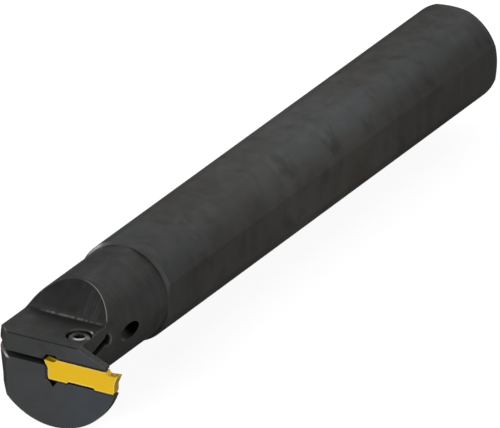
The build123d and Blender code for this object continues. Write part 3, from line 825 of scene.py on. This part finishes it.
# ---------------------------------------------------------------- pieces
def surface(name, points, material, close_across=False, merge=0.0):
    """A mesh from a grid of points of shape (rows, columns, 3). Neighbours in both directions share a
    four sided face, and with close_across the last column joins the first. Points nearer than merge are
    made one, which closes a pole, and edges sharper than 30 degrees are shaded sharp."""
    rows, columns = points.shape[:2]
    index = np.arange(rows * columns).reshape(rows, columns)
    ahead = np.roll(index, -1, axis=1) if close_across else index[:, 1:]
    here = index if close_across else index[:, :-1]
    quads = np.stack([here[:-1], ahead[:-1], ahead[1:], here[1:]], axis=-1).reshape(-1, 4)
    mesh = bpy.data.meshes.new(name)
    mesh.from_pydata(points.reshape(-1, 3).tolist(), [], quads.tolist())
    if merge:
        work = bmesh.new()
        work.from_mesh(mesh)
        bmesh.ops.remove_doubles(work, verts=work.verts, dist=merge)
        bmesh.ops.recalc_face_normals(work, faces=work.faces)
        work.to_mesh(mesh)
        work.free()
    mesh.polygons.foreach_set("use_smooth", np.full(len(mesh.polygons), True))
    mesh.set_sharp_from_angle(angle=SHARP_EDGE)
    mesh.materials.append(material)
    mesh.update()
    piece = bpy.data.objects.new(name, mesh)
    bpy.context.scene.collection.objects.link(piece)
    return piece


def dress(node, material):
    """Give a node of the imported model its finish."""
    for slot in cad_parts[node].material_slots:
        slot.material = material


def clamp_screw():
    """The socket screw, turned about its axis: each row is one height and each column one angle. The rows
    run from the middle of the socket's floor over the head and down the shank to the middle of the tip.
    In the socket the radius follows a hexagon, which is its flat distance divided by the cosine of the
    angle from the nearest flat's middle, or the cone of the mouth where that is wider. On the shank the
    radius follows a 60 degree thread: it swings straight between crest and root with
    height / pitch - angle / full turn, and fades out at both ends."""
    columns, cone_rows, rows_per_pitch = 96, 9, 12
    angle = np.arange(columns) * FULL_TURN / columns
    sixth = FULL_TURN / 6
    hexagon = SOCKET_FLAT / np.cos(angle % sixth - sixth / 2)
    circle = np.ones(columns)
    top, seat, tip = SCREW_HIGH.z, SCREW_HIGH.z - HEAD_HEIGHT, SCREW_LOW.z
    bevel_foot = top - HEAD_BEVEL_HEIGHT
    # the socket's floor, the bevel's foot and the seat's edge are rounded a little
    cone = [
        (np.maximum(hexagon, MOUTH_RADIUS - share * (MOUTH_RADIUS - SOCKET_FLAT)), top - share * MOUTH_DEPTH)
        for share in np.linspace(1, 0, cone_rows)
    ]
    head = [
        (hexagon * 0.0, top - SOCKET_DEPTH),
        (hexagon * 0.96, top - SOCKET_DEPTH),
        (hexagon, top - SOCKET_DEPTH + 0.04 * MM),
        *cone,
        (circle * (HEAD_RADIUS - HEAD_BEVEL_WIDTH), top),
        (circle * (HEAD_RADIUS - 0.12 * MM), bevel_foot + 0.06 * MM),
        (circle * (HEAD_RADIUS - 0.04 * MM), bevel_foot + 0.01 * MM),
        (circle * HEAD_RADIUS, bevel_foot - 0.08 * MM),
        (circle * HEAD_RADIUS, seat + 0.05 * MM),
        (circle * (HEAD_RADIUS - 0.05 * MM), seat),
        (circle * THREAD_RADIUS, seat),
    ]
    head_radii = np.array([row for row, _ in head])
    head_heights = np.array([height for _, height in head])

    # an eighth of the pitch is flat at the crest and at the root, and the flanks are straight
    thread_heights = np.arange(seat - 0.05 * MM, tip + TIP_CHAMFER, -THREAD_PITCH / rows_per_pitch)
    phase = (thread_heights[:, None] / THREAD_PITCH - angle[None, :] / FULL_TURN) % 1.0
    flat = 0.125
    cut = np.clip((1 - np.abs(2 * phase - 1)) * (1 + 2 * flat) - flat, 0, 1)
    fade = np.clip((seat - thread_heights) / (2 * THREAD_PITCH), 0, 1)[:, None]
    thread = THREAD_RADIUS - THREAD_DEPTH * cut * fade
    tip_radius = THREAD_RADIUS - TIP_CHAMFER
    thread = np.minimum(thread, tip_radius + np.maximum(thread_heights - tip, 0)[:, None])
    end = np.array([circle * tip_radius, circle * 0.0])

    radii = np.concatenate([head_radii, thread, end])
    heights = np.concatenate([head_heights, thread_heights, [tip, tip]])
    points = np.stack([
        SCREW_X + radii * np.cos(angle), SCREW_Y + radii * np.sin(angle),
        np.broadcast_to(heights[:, None], radii.shape),
    ], axis=-1)
    return surface("socket_screw", points, SCREW_STEEL, close_across=True, merge=SAME_POINT)


def inlet_thread():
    """The pipe thread inside the coolant inlet: a ridge swept along a helix. Row t stands at the angle
    turns * t and at start - pitch * turns * t along the bar. Its section has six corners, two of them
    sunk in the bore's wall, and shrinks to nothing at both ends, where the thread runs out."""
    turns, per_turn, pitch = 8.5, 72, 1.337 * MM
    start, sunk, height = -1.3 * MM, 0.12 * MM, 0.62 * MM
    fade_in, fade_out = 0.5, 1.5               # in turns
    t = np.linspace(0, 1, int(turns * per_turn) + 1)
    angle = FULL_TURN * turns * t
    size = np.minimum(np.clip(t * turns / fade_in, 0, 1), np.clip((1 - t) * turns / fade_out, 0, 1))
    inward = np.array([-sunk, 0.0, height, height, 0.0, -sunk])
    along = np.array([-0.46, -0.44, -0.07, 0.07, 0.44, 0.46]) * pitch
    radii = INLET_RADIUS + 0.02 * MM - size[:, None] * inward
    depths = start - pitch * turns * t[:, None] + size[:, None] * along
    points = np.stack([radii * np.cos(angle)[:, None], depths, radii * np.sin(angle)[:, None]], axis=-1)
    return surface("inlet_thread", points, OXIDE, close_across=True, merge=SAME_POINT)


dress("bar", OXIDE)
dress("insert", GOLD)
dress("clamp_screw", SCREW_STEEL)

screw = clamp_screw()
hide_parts("clamp_screw")
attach(screw, "clamp_screw")

thread = inlet_thread()
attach(thread, "holder")

# ---------------------------------------------------------------- studio
AZIMUTH, ELEVATION = math.radians(30.1), math.radians(25.1)
LENS, SENSOR = 1460.0, 36.0                    # millimetres, as cameras are named
VIEW_WIDTH = 149.6 * MM                        # what the picture's width spans at the middle of the bar
LOOKED_AT = np.array([-0.40, -123.47, -4.87]) * MM
FLOOR_HALF = 3.0
LIGHT_DISTANCE = 3.0
LIT_PLACE = Vector((0, -0.15, 0))
WORLD_LIGHT = 0.195
FLOOR_GLOW = 0.84

# each soft light: its azimuth and elevation in degrees, width and height in metres, and power in watts
LIGHTS = {
    "behind_low": (0, 12, 1.6, 1.0, 6.9),
    "behind_high": (0, 32, 2.8, 1.2, 8.4),
    "behind_left": (-15, 22, 2.8, 1.4, 3.4),
    "front": (180, 10, 1.3, 1.3, 56.0),
    "cutting_side": (90, 10, 1.3, 1.3, 29.0),
    "far_side": (-90, 20, 1.3, 1.3, 23.0),
}


def camera():
    """A very long lens, so that the bar's long edges stay parallel."""
    distance = VIEW_WIDTH * LENS / SENSOR
    back = np.array([
        math.sin(AZIMUTH) * math.cos(ELEVATION), -math.cos(AZIMUTH) * math.cos(ELEVATION), math.sin(ELEVATION)
    ])
    data = bpy.data.cameras.new("camera")
    data.lens, data.sensor_width, data.sensor_fit = LENS, SENSOR, "HORIZONTAL"
    data.clip_start, data.clip_end = 0.1, 50.0
    made = bpy.data.objects.new("camera", data)
    made.location = LOOKED_AT + back * distance
    made.rotation_euler = (math.pi / 2 - ELEVATION, 0.0, AZIMUTH)
    bpy.context.scene.collection.objects.link(made)
    bpy.context.scene.camera = made


def floor():
    """A plain pale floor, one flat grid level with the lowest point of the blade. It glows a little for
    the camera alone, so that it is as pale as the background and casts no light of its own."""
    points_along_side = 5
    side = np.linspace(-FLOOR_HALF, FLOOR_HALF, points_along_side)
    x, y = np.meshgrid(side, side)
    points = np.stack([x, y, np.full_like(x, cad_box[0].z)], axis=-1)
    material, tree, shader, place = new_material("pale_floor")
    seen = add(tree, "ShaderNodeLightPath").outputs["Is Camera Ray"]
    pale = blend_colour(tree, noise(tree, place, scale=4.0, detail=2.0), grey(0.45), grey(0.5))
    tree.links.new(blend_colour(tree, seen, grey(0.3), pale), shader.inputs["Base Color"])
    shader.inputs["Emission Color"].default_value = grey(1.0)
    tree.links.new(product(tree, seen, FLOOR_GLOW), shader.inputs["Emission Strength"])
    shader.inputs["Roughness"].default_value = 0.8
    shader.inputs["Specular IOR Level"].default_value = 0.0
    surface("floor", points, material)


def softbox(name, azimuth, elevation, width, height, power):
    """A soft light that looks at the bar and stays out of every picture. Azimuth runs from the bar's rear
    end towards the cutting side."""
    turn, rise = math.radians(azimuth), math.radians(elevation)
    away = Vector((math.sin(turn) * math.cos(rise), math.cos(turn) * math.cos(rise), math.sin(rise)))
    data = bpy.data.lights.new(name, "AREA")
    data.shape, data.size, data.size_y, data.energy = "RECTANGLE", width, height, power
    made = bpy.data.objects.new(name, data)
    made.location = LIT_PLACE + away * LIGHT_DISTANCE
    made.rotation_mode = "QUATERNION"
    made.rotation_quaternion = (-away).to_track_quat("-Z", "Y")
    made.visible_camera = False
    bpy.context.scene.collection.objects.link(made)


def surroundings():
    """Even dim light from all round, and a white background for the camera."""
    world = bpy.data.worlds.new("studio")
    world.use_nodes = True
    tree = world.node_tree
    background = tree.nodes["Background"].inputs
    seen = add(tree, "ShaderNodeLightPath").outputs["Is Camera Ray"]
    background["Color"].default_value = grey(1.0)
    tree.links.new(blend_value(tree, seen, WORLD_LIGHT, 1.0), background["Strength"])
    bpy.context.scene.world = world


camera()
floor()
surroundings()
for name, values in LIGHTS.items():
    softbox(name, *values)
bpy.context.scene.view_settings.view_transform = "Standard"
